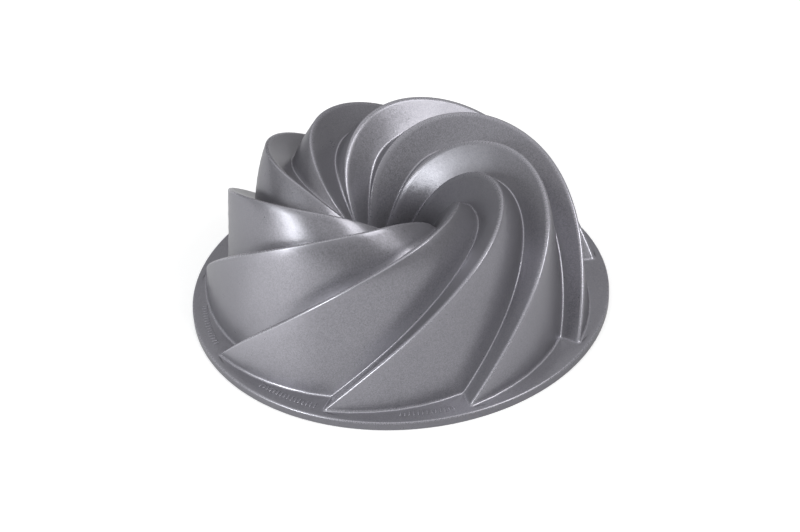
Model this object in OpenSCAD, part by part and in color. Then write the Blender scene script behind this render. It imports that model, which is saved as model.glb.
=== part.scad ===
// Swirl bundt pan, standing on its flange with the crown up.
// One aluminium casting with a coat of finish outside and a nonstick lining inside.
// Origin: centre of the flange, on its underside. +Z points up through the crown.
// The swirl climbs anticlockwise seen from above. Millimetres.

/* [Flange] */
// Outside diameter of the flange
flange_diameter = 264; // [262:1:290]
// Height of the flange, from its underside to its top
flange_height = 5.5; // [4.5:0.5:8]
// Radius on the top outer edge of the flange
flange_edge = 1.2; // [0.6:0.2:2]
// Fillet where the blades stand on the flange
foot_fillet = 1.4; // [0.6:0.2:1.8]

/* [Blades] */
// Number of blades in the swirl
blade_count = 9; // [8:1:10]
// Distance from the centre to a blade's tip, at the flange
tip_radius = 126; // [118:1:127]
// Height of the blades' crests above the underside of the flange
crest_height = 96; // [80:1:110]
// Angle of the first blade's tip from +X
first_tip_angle = 7; // [0:1:39]
// Length of face that the rounding of a ridge takes up on each side, over the crown
ridge_round = 3.5; // [2:0.5:4]
// The same length at a blade's foot, where the ridge is sharper
ridge_round_foot = 1.8; // [1.2:0.2:2]
// Length of face that the rounding of a valley takes up on each side
valley_round = 1.2; // [0.8:0.2:2]

/* [Walls] */
// Thickness of the cast wall
wall = 3.4; // [2.4:0.2:4]
// Thickness of the outer coat, and of the nonstick lining
coat = 0.3; // [0.2:0.1:0.4]
// Height of the centre tube's open end above the underside of the flange
tube_end_height = 12; // [8:1:20]

/* [Hidden] */

// Depths below the pan's outermost surface at which one layer ends and the next begins
OUTSIDE = 0;
CAST_OUTSIDE = coat;
CAST_INSIDE = coat + wall;
INSIDE = 2 * coat + wall;

// The edge and the foot of a blade are smooth lines, each drawn near eight points from
// the flange, over the crown and down the centre tube to its end.
// A point is [radius, swirl from the blade's tip in degrees, height above the flange].
DRAWN_TIP_RADIUS = 126;
DRAWN_CREST_RISE = 90.2;
DRAWN_TUBE_END_RISE = 6.5;
RIDGE = [
    [126, 0, 0], // tip, standing on the flange
    [118, 13.5, 29], // outer wall
    [104.5, 43, 74], // shoulder
    [84, 70, 90], // crown
    [67, 90, 91], // crown
    [47.5, 113, 84.5], // lip of the funnel
    [22.5, 165, 47], // throat
    [17, 176.5, DRAWN_TUBE_END_RISE] // end of the tube
];
VALLEY = [
    [113.5, 0, 0],
    [105, 14, 26.5],
    [88, 42.5, 66],
    [69.5, 67, 76],
    [57.5, 79.5, 74],
    [42, 97.5, 70.5],
    [22.5, 122, 45],
    [18.5, 169.5, DRAWN_TUBE_END_RISE]
];
LAST = len(RIDGE) - 1;
PITCH = 360 / blade_count;
RADIUS_SCALE = tip_radius / DRAWN_TIP_RADIUS;
RISE_SCALE = (crest_height - flange_height) / DRAWN_CREST_RISE;

// Grid: rings up the wall, and columns across each blade
WALL_RINGS = 24;
EDGE_STEPS = 2;
FACE_COLUMNS = 3;
STEP = 0.02; // short step along a line, for its direction

function mix(a, b, u) = a + (b - a) * u;
function unit(v) = v / norm(v);
// A point at u on the circular arc that rounds off the corner a-b-c
function corner(a, b, c, u) =
    let (p = (1 - u) * (1 - u), q = u * (1 - u) * norm(a - c) / norm(a - b), r = u * u)
    (p * a + q * b + r * c) / (p + q + r);
function polar(p) = [norm([p.x, p.y]), atan2(p.y, p.x), p.z];
function place(q) = [q[0] * cos(q[1]), q[0] * sin(q[1]), q[2]];
function turn(p, a) = [p.x * cos(a) - p.y * sin(a), p.x * sin(a) + p.y * cos(a), p.z];
function at_height(p, z) = [p.x, p.y, z];

// A smooth curve (uniform cubic B-spline) that starts and ends on its end points.
// t runs from 0 at the flange to LAST at the tube's end.
function spline_weights(u) =
    [pow(1 - u, 3), 3 * pow(u, 3) - 6 * u * u + 4, 3 * u + 3 * u * u - 3 * pow(u, 3) + 1, pow(u, 3)] / 6;
function padded(line) =
    concat([2 * line[0] - line[1]], line, [2 * line[LAST] - line[LAST - 1]]);
function along(line, t) =
    let (i = min(floor(t), LAST - 1), p = padded(line))
    spline_weights(t - i) * [p[i], p[i + 1], p[i + 2], p[i + 3]];
function point(line, t) =
    let (q = along(line, t))
    place([q[0] * RADIUS_SCALE, first_tip_angle + q[1], flange_height + q[2] * RISE_SCALE]);
function direction(line, t) =
    unit(point(line, min(t + STEP, LAST)) - point(line, max(t - STEP, 0)));

// The broad face of a blade sweeps round the axis from its ridge to the valley after it.
function on_face(ridge, valley, u) =
    let (a = polar(ridge), b = polar(turn(valley, PITCH - a[1])))
    place([mix(a[0], b[0], u), a[1] + b[1] * u, mix(a[2], b[2], u)]);

// The point at a depth below the two faces that meet at p, along the line's direction.
// face_way and step_way lead away from p on the broad face and on the step wall.
function sunk(p, way, face_way, step_way, side, depth) =
    let (a = side * unit(cross(face_way, way)), b = side * unit(cross(way, step_way)))
    p - depth * (a + b) / (1 + a * b);
function sunk_ridge(t, depth) =
    let (r = point(RIDGE, t), v = point(VALLEY, t), near = on_face(r, v, 0.05))
    sunk(r, direction(RIDGE, t), near - r, v - r, 1, depth);
function sunk_valley(t, depth) =
    let (r = point(RIDGE, t), v = point(VALLEY, t), face = on_face(r, v, 0.95))
    sunk(v, direction(VALLEY, t), turn(face, -PITCH) - v, r - v, -1, depth);

// A ridge grows rounder from the foot to the crown.
CROWN_T = 2;
MIN_CUT = 0.8;
function round_at(t) = mix(ridge_round_foot, ridge_round, min(t / CROWN_T, 1));
// It is drawn along the middle of its rounding, so its sharp corner stands proud by this share.
PROUD_SHARE = 0.29;

// One blade's share of a ring: the ridge's rounding, the broad face, then the valley's.
// `before` and `after` are the valleys on either side of this ridge. The roundings take up
// `ridge_cut` and `valley_cut` of the sides they join.
function blade_points(ridge, before, after, next_ridge, ridge_cut, valley_cut) =
    let (
        step = norm(ridge - before),
        face = norm(after - ridge),
        back = turn(after, -PITCH),
        to = function(u) on_face(ridge, back, u),
        wall_end = mix(ridge, before, ridge_cut / step),
        wall_start = mix(after, next_ridge, valley_cut / step)
    )
    concat(
        [for (i = [0:EDGE_STEPS]) corner(wall_end, ridge, to(ridge_cut / face), i / EDGE_STEPS)],
        [for (i = [1:FACE_COLUMNS]) to(i / (FACE_COLUMNS + 1))],
        [for (i = [0:1]) corner(to(1 - valley_cut / face), after, wall_start, i)]
    );
function ring(t, depth) =
    let (
        r = sunk_ridge(t, depth - round_at(t) * PROUD_SHARE),
        v = sunk_valley(t, depth),
        ridge_cut = max(round_at(t) - depth / 2, MIN_CUT),
        valley_cut = max(valley_round + depth / 2, MIN_CUT),
        blade = blade_points(r, v, turn(v, PITCH), turn(r, PITCH), ridge_cut, valley_cut)
    )
    [for (k = [0:blade_count - 1]) each [for (p = blade) turn(p, k * PITCH)]];
function ring_at_height(t, depth, z) = [for (p = ring(t, depth)) at_height(p, z)];
COLUMNS = blade_count * (EDGE_STEPS + FACE_COLUMNS + 3);

// A circle of the flange, with its points evenly spaced
function circle_ring(radius, z) =
    [for (j = [0:COLUMNS - 1]) place([radius, first_tip_angle + 360 * j / COLUMNS, z])];

// Rings up the wall, from just above the flange to the tube's end, at a depth
FIRST_T = 0.06;
function wall_rings(depth) = concat(
    [for (i = [0:WALL_RINGS - 1]) ring(mix(FIRST_T, LAST, i / WALL_RINGS), depth)],
    [ring_at_height(LAST, depth, tube_end_height)]
);
// A circle on the flange's outer face
function rim(depth, z) = [circle_ring(flange_diameter / 2 - depth, z)];
// The inside of the pan, from its mouth in the flange's underside. The lining covers that
// underside too, so the casting stands one coat above it.
function inside_rings(depth) =
    concat([ring_at_height(0, depth, INSIDE - depth)], wall_rings(depth));
// The outside of the pan, from the rounded edge of the flange, over its top and up the wall
function outside_rings(depth) =
    let (
        radius = flange_diameter / 2 - depth,
        top = flange_height - depth,
        edge = flange_edge - depth,
        out = ring_at_height(0, depth - foot_fillet, top),
        foot = ring_at_height(0, depth, top),
        wall_start = ring(FIRST_T, depth)
    )
    concat(
        [for (i = [0:EDGE_STEPS])
            circle_ring(
                radius - edge + edge * cos(90 * i / EDGE_STEPS),
                top - edge + edge * sin(90 * i / EDGE_STEPS)
            )],
        [out],
        [[for (j = [0:COLUMNS - 1]) corner(out[j], foot[j], wall_start[j], 0.5)]],
        wall_rings(depth)
    );

// A closed layer between an outer and an inner set of rings, open through the middle.
// Each square of the grid is split along its shorter diagonal, from its upper left corner
// on both sides of the layer, so that neighbouring layers meet without a gap.
module layer(outer, inner) {
    rings = concat(outer, [for (i = [len(inner) - 1:-1:0]) inner[i]]);
    rows = len(rings);
    index = function(i, j) (i % rows) * COLUMNS + j % COLUMNS;
    polyhedron(
        points = [for (r = rings) each r],
        faces = [
            for (i = [0:rows - 1], j = [0:COLUMNS - 1])
                let (a = index(i, j), b = index(i + 1, j), c = index(i + 1, j + 1), d = index(i, j + 1))
                    each (i < len(outer) - 1 ? [[a, b, d], [b, c, d]] : [[a, b, c], [a, c, d]])
        ]
    );
}

// The aluminium casting: flange, bladed wall, crown and centre tube in one pour
module cast_body() {
    color("silver")
        layer(outside_rings(CAST_OUTSIDE), concat(rim(CAST_OUTSIDE, coat), inside_rings(CAST_INSIDE)));
}

// Metallic finish over the outside and the top and edge of the flange
module outer_coat() {
    color("slategray")
        layer(
            concat(rim(OUTSIDE, 0), outside_rings(OUTSIDE)),
            concat(rim(CAST_OUTSIDE, 0), outside_rings(CAST_OUTSIDE))
        );
}

// Nonstick finish over the baking surface and the underside of the flange
module nonstick_lining() {
    color("dimgray")
        layer(
            concat(rim(CAST_OUTSIDE, coat), inside_rings(CAST_INSIDE)),
            concat(rim(CAST_OUTSIDE, 0), inside_rings(INSIDE))
        );
}

cast_body();
outer_coat();
nonstick_lining();
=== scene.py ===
"""Looks of the swirl bundt pan: its finish, casting and nonstick lining, on a pale studio floor."""

import math

import bmesh
import bpy
import numpy as np
from mathutils import Matrix, Vector


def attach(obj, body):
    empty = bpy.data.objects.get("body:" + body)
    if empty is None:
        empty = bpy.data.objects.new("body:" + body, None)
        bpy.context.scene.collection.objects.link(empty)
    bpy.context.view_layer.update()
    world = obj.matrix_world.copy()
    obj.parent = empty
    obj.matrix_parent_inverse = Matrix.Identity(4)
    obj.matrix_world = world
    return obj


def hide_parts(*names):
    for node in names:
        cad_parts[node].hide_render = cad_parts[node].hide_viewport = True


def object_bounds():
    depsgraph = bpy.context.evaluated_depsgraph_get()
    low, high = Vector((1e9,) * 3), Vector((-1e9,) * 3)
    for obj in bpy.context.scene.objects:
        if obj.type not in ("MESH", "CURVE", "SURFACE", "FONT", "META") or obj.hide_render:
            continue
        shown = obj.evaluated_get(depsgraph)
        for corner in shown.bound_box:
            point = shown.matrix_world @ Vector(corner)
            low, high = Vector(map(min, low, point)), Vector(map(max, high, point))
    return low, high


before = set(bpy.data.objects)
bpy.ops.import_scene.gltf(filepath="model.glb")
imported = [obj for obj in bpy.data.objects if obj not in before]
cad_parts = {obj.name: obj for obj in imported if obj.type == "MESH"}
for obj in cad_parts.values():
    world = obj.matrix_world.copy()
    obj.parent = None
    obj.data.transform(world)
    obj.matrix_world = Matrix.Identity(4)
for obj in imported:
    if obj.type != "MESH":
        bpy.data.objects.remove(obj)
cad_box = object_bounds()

MM = 0.001

# ---------------------------------------------------------------- the pan's form, in millimetres
BLADES = 9
PITCH = 360 / BLADES
FLANGE_RADIUS = (cad_box[1][0] - cad_box[0][0]) / 2 / MM
FLANGE_HEIGHT = 5.5
FIRST_TIP_ANGLE = 7
TUBE_END_HEIGHT = 12
COAT = 0.3
WALL = 3.4

# Smooth lines along a blade's ridge and along its valley, each of which passes near eight points.
# A point is (radius, swirl from the blade's tip in degrees, height above the flange).
# The points are the same as the CAD's. They weren't designed by hand: a separate least-squares
# program fitted them to the blades' edges in the photograph, and they are rounded to halves.
RIDGE = np.array([
    (126, 0, 0),
    (118, 13.5, 29),
    (104.5, 43, 74),
    (84, 70, 90),
    (67, 90, 91),
    (47.5, 113, 84.5),
    (22.5, 165, 47),
    (17, 176.5, 6.5),
])
VALLEY = np.array([
    (113.5, 0, 0),
    (105, 14, 26.5),
    (88, 42.5, 66),
    (69.5, 67, 76),
    (57.5, 79.5, 74),
    (42, 97.5, 70.5),
    (22.5, 122, 45),
    (18.5, 169.5, 6.5),
])
LAST = len(RIDGE) - 1

# Length of face that a ridge's rounding takes up on each side, over the crown and at its foot
RIDGE_ROUND = 3.5
RIDGE_ROUND_FOOT = 1.8
# The t from which on a ridge has its full rounding
CROWN_T = 2
# A ridge's sharp corner stands proud of its line by this share of the rounding
PROUD_SHARE = 0.29
# The same length in a valley, and the least length of a rounding deeper in the wall
VALLEY_ROUND = 1.2
MIN_CUT = 0.8
# Roundings of the flange and of the pan's mouth
FOOT_FILLET = 1.4
FLANGE_EDGE = 1.2
LOWER_EDGE = 0.25
LOWER_EDGE_STEPS = 3
MOUTH_EDGE = 0.6
EDGE_STEPS = 6
INSIDE = 2 * COAT + WALL
# How far onto a face, as a share of its width, its slope at the ridge or valley is taken
FACE_PROBE = 0.05
# Edges that turn by more than this many degrees are shaded sharp
SHARP_ANGLE = 40

# ---------------------------------------------------------------- curves and surfaces


def spline(line, t):
    """Points at t, from 0 to LAST, on a smooth curve that starts and ends on the line's ends."""
    padded = np.vstack([2 * line[0] - line[1], line, 2 * line[-1] - line[-2]])
    i = np.minimum(t.astype(int), LAST - 1)
    u = (t - i)[:, None]
    weights = ((1 - u) ** 3, 3 * u**3 - 6 * u**2 + 4, 3 * u + 3 * u**2 - 3 * u**3 + 1, u**3)
    return sum(w * padded[i + k] for k, w in enumerate(weights)) / 6


def place(radius, degrees, height):
    """Points from cylindrical coordinates."""
    a = np.radians(degrees)
    return np.stack([radius * np.cos(a), radius * np.sin(a), height + 0 * a], -1)


def turn(points, degrees):
    """Points turned about the pan's axis."""
    c, s = math.cos(math.radians(degrees)), math.sin(math.radians(degrees))
    x, y, z = points[..., 0], points[..., 1], points[..., 2]
    return np.stack([c * x - s * y, s * x + c * y, z], -1)


def mix(a, b, u):
    return a + (b - a) * u


def length(v):
    return np.linalg.norm(v, axis=-1, keepdims=True)


def corner(a, b, c, u):
    """A point at u on the circular arc that rounds off the corner a-b-c."""
    p, q, r = (1 - u) ** 2, u * (1 - u) * length(a - c) / length(a - b), u**2
    return (p * a + q * b + r * c) / (p + q + r)


def unit(v):
    return v / length(v)


def drawn(line, t):
    """Points at t on a ridge's or valley's line, in their place on the pan."""
    q = spline(line, t)
    return place(q[:, 0], FIRST_TIP_ANGLE + q[:, 1], FLANGE_HEIGHT + q[:, 2])


def direction(line, t):
    """Unit vectors along a line at t."""
    step = 0.02
    return unit(drawn(line, np.minimum(t + step, LAST)) - drawn(line, np.maximum(t - step, 0)))


def on_face(ridge, valley, u):
    """The broad face of a blade sweeps round the axis from its ridge to the valley after it."""
    a = np.degrees(np.arctan2(ridge[:, 1], ridge[:, 0]))
    b = np.degrees(np.arctan2(valley[:, 1], valley[:, 0]))
    sweep = (b + PITCH - a) % 360
    radius = mix(np.hypot(ridge[:, 0], ridge[:, 1]), np.hypot(valley[:, 0], valley[:, 1]), u)
    return place(radius, a + sweep * u, mix(ridge[:, 2], valley[:, 2], u))


def sunk(p, way, face_way, step_way, side, depth):
    """The point where the two faces that meet at p would meet if both sank by depth."""
    a = side * unit(np.cross(face_way, way))
    b = side * unit(np.cross(way, step_way))
    return p - depth * (a + b) / (1 + (a * b).sum(-1, keepdims=True))


def round_at(t):
    """A ridge's rounding at each t: it grows from the foot to the crown."""
    return mix(RIDGE_ROUND_FOOT, RIDGE_ROUND, np.minimum(t / CROWN_T, 1))[:, None]


def blade_corners(t, depth):
    """The sharp ridge and valley of the first blade, at a depth below the finished surface."""
    proud = round_at(t) * PROUD_SHARE
    ridge, valley = drawn(RIDGE, t), drawn(VALLEY, t)
    face_start = on_face(ridge, valley, FACE_PROBE)
    face_end = turn(on_face(ridge, valley, 1 - FACE_PROBE), -PITCH)
    return (
        sunk(ridge, direction(RIDGE, t), face_start - ridge, valley - ridge, 1, depth - proud),
        sunk(valley, direction(VALLEY, t), face_end - valley, ridge - valley, -1, depth),
    )


def surface(t, depth, grain):
    """Rings of points at each t: a whole turn of blades, each rounded at its ridge and valley."""
    ridge_steps, face_steps, valley_steps, wall_steps = grain
    ridge, before = blade_corners(t, depth)
    after, next_ridge = turn(before, PITCH), turn(ridge, PITCH)
    step, face = length(ridge - before), length(after - ridge)
    ridge_cut = np.maximum(round_at(t) - depth / 2, MIN_CUT)
    valley_cut = max(VALLEY_ROUND + depth / 2, MIN_CUT)
    face_from, face_to = (ridge_cut / face)[:, 0], 1 - valley_cut / face[:, 0]
    wall_from, wall_to = valley_cut / step, 1 - ridge_cut / step
    wall_end, face_start = mix(ridge, before, 1 - wall_to), on_face(ridge, before, face_from)
    face_end, wall_start = on_face(ridge, before, face_to), mix(after, next_ridge, wall_from)
    columns = [corner(wall_end, ridge, face_start, i / ridge_steps) for i in range(ridge_steps)]
    columns += [
        on_face(ridge, before, mix(face_from, face_to, i / face_steps)) for i in range(face_steps)
    ]
    columns += [corner(face_end, after, wall_start, i / valley_steps) for i in range(valley_steps)]
    columns += [
        mix(after, next_ridge, mix(wall_from, wall_to, i / wall_steps)) for i in range(wall_steps)
    ]
    blade = np.stack(columns, 1)
    return np.concatenate([turn(blade, k * PITCH) for k in range(BLADES)], 1)


def at_height(ring, z):
    """A copy of a ring, moved flat to a height."""
    flat = ring.copy()
    flat[..., 2] = z
    return flat


def circle(columns, radius, z):
    """Evenly spaced points round the axis."""
    return place(radius, FIRST_TIP_ANGLE + 360 * np.arange(columns) / columns, z)


def arc_rings(columns, radius, z, edge, start, end, steps):
    """Circles along a rounding of the flange, centred at (radius, z), between two angles."""
    angles = np.radians(np.linspace(start, end, steps + 1))
    return [circle(columns, radius + edge * math.cos(a), z + edge * math.sin(a)) for a in angles]


# The t of a wall's first ring, just above the flange
FIRST_T = 0.06


def wall_rings(depth, rings, grain):
    """Rings up the wall from just above the flange, over the crown and down to the tube's end."""
    wall = surface(np.linspace(FIRST_T, LAST, rings + 1), depth, grain)
    wall[-1] = at_height(wall[-1], TUBE_END_HEIGHT)
    return list(wall)


def column_count(grain):
    """The number of points in a ring."""
    return BLADES * sum(grain)


def inside_rings(depth, rings, grain):
    """The inside of the pan, from the rim across the flange's underside and up into the mouth."""
    under = INSIDE - depth
    mouth = at_height(surface(np.zeros(1), depth, grain)[0], under)
    lip = at_height(surface(np.zeros(1), depth - MOUTH_EDGE, grain)[0], under)
    start = surface(np.array([FIRST_T]), depth, grain)[0]
    up = mix(mouth, start, MOUTH_EDGE / FLANGE_HEIGHT)
    rim = circle(column_count(grain), FLANGE_RADIUS - COAT, under)
    edge = [corner(lip, mouth, up, i / EDGE_STEPS) for i in range(EDGE_STEPS + 1)]
    return [rim, mix(rim, lip, 0.5)] + edge + wall_rings(depth, rings, grain)


def outside_rings(depth, rings, grain):
    """The outside of the pan, from the rounded edge of the flange, over its top and up the wall."""
    radius = FLANGE_RADIUS - depth
    top = FLANGE_HEIGHT - depth
    edge = FLANGE_EDGE - depth
    out = at_height(surface(np.zeros(1), depth - FOOT_FILLET, grain)[0], top)
    foot = at_height(surface(np.zeros(1), depth, grain)[0], top)
    start = surface(np.array([FIRST_T]), depth, grain)[0]
    upper = arc_rings(column_count(grain), radius - edge, top - edge, edge, 0, 90, EDGE_STEPS)
    ledge = mix(upper[-1], out, 0.5)
    fillet = [corner(out, foot, start, i / EDGE_STEPS) for i in range(EDGE_STEPS)]
    return upper + [ledge] + fillet + wall_rings(depth, rings, grain)


def put_in_scene(name, data):
    """A new object in the scene for a mesh, a light or a camera."""
    thing = bpy.data.objects.new(name, data)
    bpy.context.scene.collection.objects.link(thing)
    return thing


def set_edge(mesh, values):
    """Store the edge value that the materials read at each point of a mesh."""
    mesh.attributes.new("edge", "FLOAT", "POINT").data.foreach_set("value", values)


def creases(grid):
    """How sharply a grid turns at each point, per millimetre: more than 0 on an edge, less in a hollow."""
    along = np.roll(grid, -1, 0) - grid
    across = np.roll(grid, -1, 1) - grid
    normal = unit(np.cross(across, along))

    def turning(axis, way, side):
        before = np.roll(normal, 1, axis)
        reach = (length(side) + length(np.roll(side, 1, axis)))[..., 0] / 2
        return (np.cross(before, normal) * unit(way)).sum(-1) / reach

    bends = np.stack([turning(1, along, across), turning(0, -across, along)])
    strongest = np.abs(bends).argmax(0)
    return np.take_along_axis(bends, strongest[None], 0)[0]


# The turn per millimetre, in radians, that counts as a fully sharp edge
SHARPEST_CREASE = 0.35
# The wear and painted highlight on the flange's own edges, as a share of those on the blades'
RIM_WEAR_AND_SHEEN = 0.6


def layer(name, outer, inner):
    """A closed mesh between an outer and an inner set of rings, open through the middle.

    Each quad starts at the corner from which its shorter diagonal runs, where a renderer splits it.
    """
    grid = np.array(outer + inner[::-1])
    rows, columns = grid.shape[:2]
    i, j = np.meshgrid(np.arange(rows), np.arange(columns), indexing="ij")
    above, beside = (i + 1) % rows, (j + 1) % columns
    here, over = i * columns, above * columns
    quads = np.stack([here + j, here + beside, over + beside, over + j], -1).reshape(-1, 4)
    points = grid.reshape(-1, 3)
    a, b, c, d = (points[quads[:, k]] for k in range(4))
    split_first = length(a - c) <= length(b - d)
    quads = np.where(split_first, quads, np.roll(quads, -1, axis=1))
    mesh = bpy.data.meshes.new(name)
    mesh.from_pydata(points * MM, [], quads)
    mesh.shade_smooth()
    mesh.set_sharp_from_angle(angle=math.radians(SHARP_ANGLE))
    edge = np.clip(creases(grid) / SHARPEST_CREASE, -1, 1)
    edge[np.hypot(grid[..., 0], grid[..., 1]) > FLANGE_RADIUS - 2 * FLANGE_EDGE] *= RIM_WEAR_AND_SHEEN
    set_edge(mesh, edge.ravel())
    return put_in_scene(name, mesh)


# Plain raised bars on the flange, in rows near three of the blades' tips, sized in millimetres.
# A row is (angle of its first bar in degrees, number of bars), and runs anticlockwise.
MARK_ROWS = ((-176, 16), (-134, 16), (-92, 13))
MARK_RADIUS = 124
MARK_SPACING = 2.6
MARK_SIZE = (3.6, 1.1, 0.8)
MARK_PROUD = 0.35
MARK_BEVEL = 0.28
# The edge value of every point on the bars, which makes them lighter and smoother, as on the blades' edges
MARK_EDGE_VALUE = 0.8


def rim_marks(name):
    """Small bars with rounded edges, each standing a little proud of the flange's top."""
    shape = bmesh.new()
    step = math.degrees(MARK_SPACING / MARK_RADIUS)
    for first, count in MARK_ROWS:
        for k in range(count):
            angle = Matrix.Rotation(math.radians(first + k * step), 4, "Z")
            middle = (MARK_RADIUS * MM, 0, (FLANGE_HEIGHT + MARK_PROUD - MARK_SIZE[2] / 2) * MM)
            size = Matrix.Diagonal([s * MM for s in MARK_SIZE]).to_4x4()
            bmesh.ops.create_cube(shape, size=1, matrix=angle @ Matrix.Translation(middle) @ size)
    bmesh.ops.bevel(
        shape, geom=shape.edges[:], offset=MARK_BEVEL * MM, segments=3, profile=0.5, affect="EDGES"
    )
    mesh = bpy.data.meshes.new(name)
    shape.to_mesh(mesh)
    shape.free()
    mesh.shade_smooth()
    set_edge(mesh, np.full(len(mesh.vertices), MARK_EDGE_VALUE))
    return put_in_scene(name, mesh)


# ---------------------------------------------------------------- materials


class Graph:
    """A shader's node tree under construction, with short calls that add nodes and join them."""

    def __init__(self, tree):
        self.tree = tree

    def feed(self, socket, value):
        """Give a socket a fixed value, or join another node's output to it."""
        if isinstance(value, bpy.types.NodeSocket):
            self.tree.links.new(value, socket)
        else:
            socket.default_value = value

    def add(self, kind, *values):
        """A new node, with values for its first inputs."""
        node = self.tree.nodes.new("ShaderNode" + kind)
        for socket, value in zip(node.inputs, values):
            self.feed(socket, value)
        return node

    def math(self, operation, *values):
        """A number worked out from numbers."""
        node = self.add("Math", *values)
        node.operation = operation
        return node.outputs[0]

    def vector(self, operation, *values):
        """A vector worked out from vectors."""
        node = self.add("VectorMath", *values)
        node.operation = operation
        return node.outputs["Vector"]

    def measure(self, operation, *values):
        """A number worked out from vectors."""
        node = self.add("VectorMath", *values)
        node.operation = operation
        return node.outputs["Value"]

    def part(self, vector, axis):
        """One of the X, Y and Z parts of a vector."""
        return self.add("SeparateXYZ", vector).outputs[axis]

    def scaled(self, vector, factor):
        """A vector or colour times a number."""
        unused = (0, 0, 0)
        return self.vector("SCALE", vector, unused, unused, factor)

    def ramp(self, value, start, end, low, high, smooth=False):
        """A number that goes from low to high while a value goes from start to end."""
        node = self.add("MapRange", value, start, end, low, high)
        if smooth:
            node.interpolation_type = "SMOOTHSTEP"
        return node.outputs["Result"]

    def around(self, middle, value, swing):
        """The middle, plus or minus a swing as a 0 to 1 value goes from one end to the other."""
        return self.math("MULTIPLY_ADD", value, 2 * swing, middle - swing)


class Recipe(Graph):
    """A material under construction. Sizes and depths are in millimetres."""

    def __init__(self, name):
        self.material = bpy.data.materials.new(name)
        self.material.use_nodes = True
        super().__init__(self.material.node_tree)
        self.shader = self.tree.nodes["Principled BSDF"]
        self.where = self.add("TexCoord").outputs["Object"]

    def set(self, socket, value):
        """Give one of the shader's sockets a value or another node's output."""
        self.feed(self.shader.inputs[socket], value)

    def edge(self):
        """The mesh's edge value: 1 on a sharp edge, 0 on a flat face, -1 in a sharp hollow."""
        node = self.add("Attribute")
        node.attribute_name = "edge"
        return node.outputs["Fac"]

    def edge_wear_and_sheen(self, edge):
        """The edge value on edges alone, which is 0 elsewhere."""
        return self.math("MAXIMUM", edge, 0.0)

    def noise(self, size, detail=2.0):
        """Soft noise between 0 and 1, with lumps of a size."""
        node = self.add("TexNoise")
        self.feed(node.inputs["Vector"], self.where)
        self.feed(node.inputs["Scale"], 1 / (size * MM))
        self.feed(node.inputs["Detail"], detail)
        return node.outputs["Fac"]

    def cells(self, size):
        """A random colour for each cell of a size."""
        node = self.add("TexVoronoi")
        self.feed(node.inputs["Vector"], self.where)
        self.feed(node.inputs["Scale"], 1 / (size * MM))
        return node.outputs["Color"]

    def painted_flange_light_and_shade(self, top, side):
        """A brightness factor of painted light and shade: one on the flange's flat top, one on its side,
        and 1 above it.
        """
        upright, level = 0.2, 0.8
        fade_start, fade_length = (FLANGE_HEIGHT + 0.1) * MM, 0.6 * MM
        facing_up = self.part(self.add("NewGeometry").outputs["Normal"], "Z")
        # Painted light on the flat top and painted shade on the side, set by which way the surface faces
        tint = self.ramp(facing_up, upright, level, side - 1, top - 1)
        height = self.part(self.where, "Z")
        on_flange = self.ramp(height, fade_start, fade_start + fade_length, 1.0, 0.0)
        return self.math("MULTIPLY_ADD", on_flange, tint, 1.0)

    def tilted_normal(self, cells, tilt):
        """The surface's normal, tipped a random way in each cell."""
        tip = self.scaled(self.vector("SUBTRACT", cells, (0.5, 0.5, 0.5)), tilt)
        normal = self.add("NewGeometry").outputs["Normal"]
        return self.vector("NORMALIZE", self.vector("ADD", normal, tip))

    def bump(self, height, depth, normal=None, strength=1.0):
        """A normal bent by a 0 to 1 height that stands for a depth."""
        node = self.add("Bump", strength)
        self.feed(node.inputs["Height"], height)
        self.feed(node.inputs["Distance"], depth * MM)
        if normal:
            self.feed(node.inputs["Normal"], normal)
        return node.outputs["Normal"]


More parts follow.
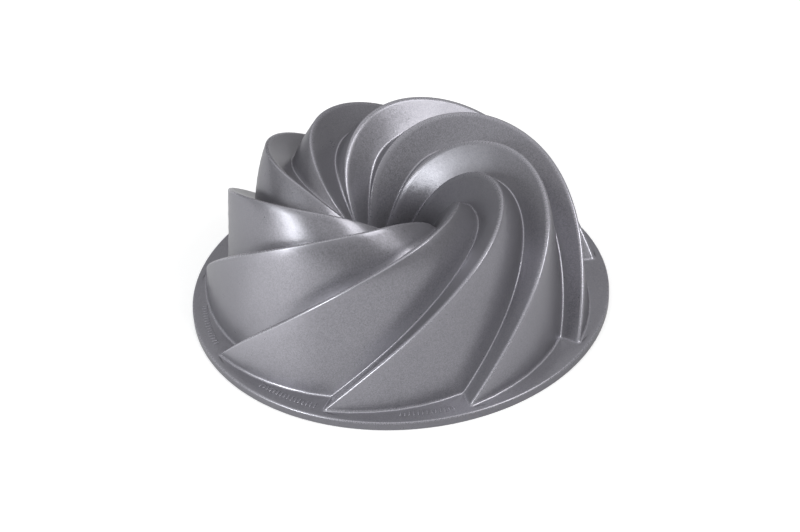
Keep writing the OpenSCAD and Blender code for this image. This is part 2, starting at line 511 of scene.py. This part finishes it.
def metal_flake_finish():
    """Satin grey coat full of fine metal flakes, thinner and worn brighter along edges, with a painted
    highlight along edges and in hollows.
    """
    grey, metallic, specular = (0.2505, 0.246, 0.271), 0.57, 0.25
    wear_and_sheen_brighter, painted_hollow_highlight, worn_smoother = 0.48, 0.55, 0.07
    flake_tilt, calm_at_edges = 0.12, 4.0

    recipe = Recipe("metal_flake_grey")
    edge = recipe.edge()
    hollow = recipe.math("MAXIMUM", recipe.math("MULTIPLY", edge, -1.0), 0.0)
    patches = recipe.around(1.0, recipe.noise(size=5, detail=4.0), swing=0.15)
    patchy = recipe.math("MULTIPLY", recipe.edge_wear_and_sheen(edge), patches)

    # Flakes glint on flat faces seen from the front, and fade along edges and at grazing angles.
    flakes = recipe.cells(size=0.45)
    flake = recipe.part(flakes, "Z")
    sharpness = recipe.math("ABSOLUTE", edge)
    flat = recipe.math("MAXIMUM", recipe.math("MULTIPLY_ADD", sharpness, -calm_at_edges, 1.0), 0.0)
    grazing = recipe.add("LayerWeight").outputs["Facing"]
    seen = recipe.math("MULTIPLY", flat, recipe.math("SUBTRACT", 1.0, grazing))
    glint = recipe.math("MULTIPLY_ADD", seen, recipe.around(0, flake, swing=0.22), 1.0)

    clouds = recipe.around(1.0, recipe.noise(size=28, detail=3.0), swing=0.04)
    brightness = recipe.math("MULTIPLY", glint, clouds)
    # The flange's top lighter and its side darker: painted light and painted shade
    brightness = recipe.math("MULTIPLY", brightness, recipe.painted_flange_light_and_shade(top=1.13, side=0.7))
    # Lighter along edges: partly wear, partly a painted highlight
    brightness = recipe.math("MULTIPLY_ADD", patchy, wear_and_sheen_brighter, brightness)
    # Lighter in the hollows: a painted highlight
    brightness = recipe.math("MULTIPLY_ADD", hollow, painted_hollow_highlight, brightness)

    smears = recipe.around(0.32, recipe.noise(size=9, detail=3.0), swing=0.04)
    roughness = recipe.math("ADD", smears, recipe.around(0, flake, swing=0.03))
    rubbed = recipe.math("ADD", patchy, hollow)
    roughness = recipe.math("MULTIPLY_ADD", rubbed, -worn_smoother, roughness)

    waves = recipe.bump(recipe.noise(size=7, detail=1.0), depth=0.02)
    grain = recipe.bump(recipe.noise(size=0.8), depth=0.006, normal=waves, strength=flat)
    sparkle = recipe.tilted_normal(flakes, recipe.math("MULTIPLY", flat, flake_tilt))

    recipe.set("Base Color", recipe.scaled(grey, brightness))
    recipe.set("Metallic", metallic)
    recipe.set("Specular IOR Level", specular)
    recipe.set("Specular Tint", (0.6, 0.6, 0.6, 1))
    recipe.set("Roughness", roughness)
    recipe.set("Normal", recipe.vector("NORMALIZE", recipe.vector("ADD", grain, sparkle)))
    return recipe.material


def nonstick_finish():
    """Dark grey nonstick lining: satin, with a faint orange peel and fine pale specks."""
    dark_grey, metallic = (0.060, 0.060, 0.064), 0.25
    speck_share, speck_brighter, wear_and_sheen_brighter = 0.07, 0.5, 0.25

    recipe = Recipe("nonstick_dark_grey")
    speck = recipe.math("GREATER_THAN", recipe.part(recipe.cells(size=0.7), "X"), 1 - speck_share)
    specks = recipe.math("MULTIPLY", speck, speck_brighter)
    clouds = recipe.around(1.0, recipe.noise(size=22, detail=3.0), swing=0.10)
    edge_wear_and_sheen = recipe.edge_wear_and_sheen(recipe.edge())
    brightness = recipe.math("MULTIPLY_ADD", edge_wear_and_sheen, wear_and_sheen_brighter, recipe.math("ADD", clouds, specks))
    recipe.set("Base Color", recipe.scaled(dark_grey, brightness))
    recipe.set("Metallic", metallic)
    recipe.set("Roughness", recipe.around(0.40, recipe.noise(size=6, detail=3.0), swing=0.07))
    recipe.set("Normal", recipe.bump(recipe.noise(size=1.6), depth=0.02))
    return recipe.material


def cast_aluminium():
    """Bare cast aluminium: pale and matt, with a sandy grain and darker pits."""
    pale, metallic, wear_and_sheen_brighter = (0.62, 0.62, 0.63), 1.0, 0.12

    recipe = Recipe("cast_aluminium")
    sand = recipe.noise(size=0.9, detail=4.0)
    clouds = recipe.around(1.0, recipe.noise(size=15), swing=0.06)
    brightness = recipe.math("MULTIPLY", recipe.around(1.0, sand, swing=0.10), clouds)
    edge_wear_and_sheen = recipe.edge_wear_and_sheen(recipe.edge())
    brightness = recipe.math("MULTIPLY_ADD", edge_wear_and_sheen, wear_and_sheen_brighter, brightness)
    recipe.set("Base Color", recipe.scaled(pale, brightness))
    recipe.set("Metallic", metallic)
    recipe.set("Roughness", recipe.around(0.42, recipe.noise(size=3, detail=3.0), swing=0.08))
    recipe.set("Normal", recipe.bump(sand, depth=0.05))
    return recipe.material


# ---------------------------------------------------------------- build the pan

# Columns across a blade's ridge, its broad face, its valley and its step wall
FINE = (8, 6, 4, 3)
MEDIUM = (4, 6, 2, 3)
# Rings up the wall, on a surface that shows and on one between two layers
FINE_RINGS = 340
HIDDEN_RINGS = 90

lower_edge = arc_rings(
    column_count(FINE), FLANGE_RADIUS - LOWER_EDGE, LOWER_EDGE, LOWER_EDGE, -90, 0, LOWER_EDGE_STEPS
)
lower_corner = [circle(column_count(FINE), FLANGE_RADIUS - COAT, 0)]
finish = layer(
    "outer_finish",
    lower_edge + outside_rings(0, FINE_RINGS, FINE),
    lower_corner + outside_rings(COAT, HIDDEN_RINGS, FINE),
)
lining = layer(
    "nonstick_finish",
    inside_rings(COAT + WALL, HIDDEN_RINGS, FINE),
    inside_rings(INSIDE, FINE_RINGS, FINE),
)
casting = layer(
    "aluminium_casting",
    outside_rings(COAT, HIDDEN_RINGS, MEDIUM),
    inside_rings(COAT + WALL, HIDDEN_RINGS, MEDIUM),
)

marks = rim_marks("rim_marks")

flake_grey = metal_flake_finish()
finish.data.materials.append(flake_grey)
marks.data.materials.append(flake_grey)
lining.data.materials.append(nonstick_finish())
casting.data.materials.append(cast_aluminium())

for piece, node, slot in (
    (finish, "outer_coat", "outer_finish"),
    (lining, "nonstick_lining", "nonstick"),
    (casting, "cast_body", "casting"),
):
    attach(piece, "root")
    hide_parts(node)
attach(marks, "root")

# ---------------------------------------------------------------- floor, light and camera

# Lengths are in metres from here on. Azimuth 0 is +X, and -90 is the camera's side.

FLOOR_HALF = 6.0
FLOOR_DROP = 0.0002
# From the light fit that the note on the softboxes describes
FLOOR_GLOW = 0.27
# All glow rises from none to full between these distances from the pan's middle
PAN_EDGE = (0.1, 0.13)
# A wedge of floor toward the left softboxes glows more: from and to cosine of the angle to the
# azimuth, then the extra glow at each. It starts beside the pan, between two distances.
WASH_AZIMUTH = -145
FLOOR_WASH = (0.89, 1.0, 0.0, 0.85)
WASH_START = (0.13, 0.2)
# To the camera the floor is paler still: from and to distances, then the extra glow at each
FLOOR_FADE = (0.15, 1.6, 0.18, 0.7)


def toward(azimuth, elevation=0):
    """A unit vector from the pan, at an azimuth and elevation in degrees."""
    a, e = math.radians(azimuth), math.radians(elevation)
    return Vector((math.cos(a) * math.cos(e), math.sin(a) * math.cos(e), math.sin(e)))


def floor_finish():
    """Matt pale paper that glows softly, so that it stays near white in the picture."""
    recipe = Recipe("studio_floor")
    distance = recipe.measure("LENGTH", recipe.where)
    way = recipe.vector("NORMALIZE", recipe.where)
    nearness = recipe.measure("DOT_PRODUCT", way, toward(WASH_AZIMUTH))
    wash = recipe.ramp(nearness, *FLOOR_WASH, smooth=True)
    beside_pan = recipe.ramp(distance, *WASH_START, 0.0, 1.0)
    fade = recipe.ramp(distance, *FLOOR_FADE, smooth=True)
    seen = recipe.add("LightPath").outputs["Is Camera Ray"]
    glow = recipe.math("MULTIPLY_ADD", seen, fade, FLOOR_GLOW)
    glow = recipe.math("MULTIPLY_ADD", wash, beside_pan, glow)
    glow = recipe.math("MULTIPLY", glow, recipe.ramp(distance, *PAN_EDGE, 0.0, 1.0))
    recipe.set("Base Color", (0.75, 0.75, 0.75, 1))
    recipe.set("Roughness", 0.9)
    recipe.set("Emission Color", (1, 1, 1, 1))
    recipe.set("Emission Strength", glow)
    return recipe.material


def stage_floor():
    """A square of floor just under the pan."""
    corners = [(x * FLOOR_HALF, y * FLOOR_HALF, 0) for x, y in ((-1, -1), (1, -1), (1, 1), (-1, 1))]
    mesh = bpy.data.meshes.new("floor")
    mesh.from_pydata(corners, [], [(0, 1, 2, 3)])
    mesh.materials.append(floor_finish())
    floor = put_in_scene("floor", mesh)
    floor.location.z = -FLOOR_DROP


WHITE = (1, 1, 1)
COOL = (0.97, 1.0, 1.0)
# Area lights: name, azimuth and elevation in degrees, distance, size, watts and colour.
# The eight on the left overlap, and together stand for one large, uneven softbox.
# A separate least-squares program worked out most of the watts, and the glow of the room and of the
# floor, from the photograph's brightness, and they are rounded. Set one by one since then: left_box,
# left_core, left_low and left_wing. Set one by one from the start: left_gleam, back_panel.
SOFTBOXES = (
    ("left_box", -146, 24, 2.4, (0.75, 0.55), 7.4, COOL),
    ("left_core", -138, 20, 2.4, (0.6, 0.6), 3.6, COOL),
    ("left_low", -143, 8, 2.4, (0.5, 0.5), 6.2, COOL),
    ("left_high", -134, 32, 2.4, (0.3, 0.5), 3.1, COOL),
    ("left_gleam", -149, 23, 2.4, (0.3, 0.25), 3.0, COOL),
    ("left_wing", -163, 20, 2.4, (0.4, 0.5), 2.2, COOL),
    ("left_panel", -152, 6, 2.4, (1.15, 1.2), 8.0, WHITE),
    ("left_strip", -143, 3, 2.4, (0.3, 0.9), 2.7, WHITE),
    ("right_box", -27, 50, 1.6, (0.78, 0.46), 7.2, WHITE),
    ("right_skirt", -28, 34, 1.6, (0.9, 0.3), 1.1, WHITE),
    ("front_top", -97, 54, 1.6, (0.8, 0.5), 0.3, WHITE),
    ("overhead", 90, 80, 1.6, (1.0, 1.0), 0.2, WHITE),
    ("back_panel", 100, 40, 1.8, (1.4, 0.8), 0.3, WHITE),
)
LIT_HEIGHT = 0.06


def softbox(name, azimuth, elevation, distance, size, power, color):
    """A rectangular area light that faces a point at LIT_HEIGHT on the pan's axis."""
    way = toward(azimuth, elevation)
    light = bpy.data.lights.new(name, "AREA")
    light.shape = "RECTANGLE"
    light.size, light.size_y = size
    light.energy = power
    light.color = color
    lamp = put_in_scene(name, light)
    lamp.location = way * distance + Vector((0, 0, LIT_HEIGHT))
    lamp.rotation_euler = (-way).to_track_quat("-Z", "Y").to_euler()


# Glow of the room at its sides and overhead, from the same light fit
ROOM_SIDES = 0.18
ROOM_TOP = 0.80
# It rises between these heights of a unit direction
ROOM_RISE = (0.3, 0.95)


def studio():
    """A pale room, brighter overhead than at the sides and white to the camera, with softboxes."""
    world = bpy.data.worlds.new("studio")
    world.use_nodes = True
    graph = Graph(world.node_tree)
    background = graph.tree.nodes["Background"]
    height = graph.part(graph.add("TexCoord").outputs["Generated"], "Z")
    glow = graph.ramp(height, *ROOM_RISE, ROOM_SIDES, ROOM_TOP)
    seen = graph.add("LightPath").outputs["Is Camera Ray"]
    graph.feed(background.inputs["Color"], (1, 1, 1, 1))
    graph.feed(background.inputs["Strength"], graph.math("MAXIMUM", glow, seen))
    bpy.context.scene.world = world
    bpy.context.scene.view_settings.view_transform = "Standard"
    for box in SOFTBOXES:
        softbox(*box)


# Fitted to the flange and the blades in the photograph by a separate program, and rounded
CAMERA_TURN = math.radians(0.15)
CAMERA_ELEVATION = math.radians(37.26)
CAMERA_ROLL = math.radians(-3.74)
CAMERA_DISTANCE = 1.206
CAMERA_SHIFT = (-0.0006, 0.0332)
LENS_MM = 85.3
SENSOR_MM = 36


def aim_camera():
    """A rolled studio camera that looks at the centre of the flange."""
    data = bpy.data.cameras.new("camera")
    data.sensor_width = SENSOR_MM
    data.lens = LENS_MM
    data.shift_x, data.shift_y = CAMERA_SHIFT
    back = Vector((0, -math.cos(CAMERA_ELEVATION), math.sin(CAMERA_ELEVATION)))
    right = Vector((1, 0, 0))
    up = back.cross(right)
    rolled_right = math.cos(CAMERA_ROLL) * right + math.sin(CAMERA_ROLL) * up
    rolled_up = math.cos(CAMERA_ROLL) * up - math.sin(CAMERA_ROLL) * right
    axes = Matrix((rolled_right, rolled_up, back)).transposed().to_4x4()
    turned = Matrix.Rotation(CAMERA_TURN, 4, "Z")
    camera = put_in_scene("camera", data)
    camera.matrix_world = turned @ Matrix.Translation(back * CAMERA_DISTANCE) @ axes
    bpy.context.scene.camera = camera


stage_floor()
studio()
aim_camera()
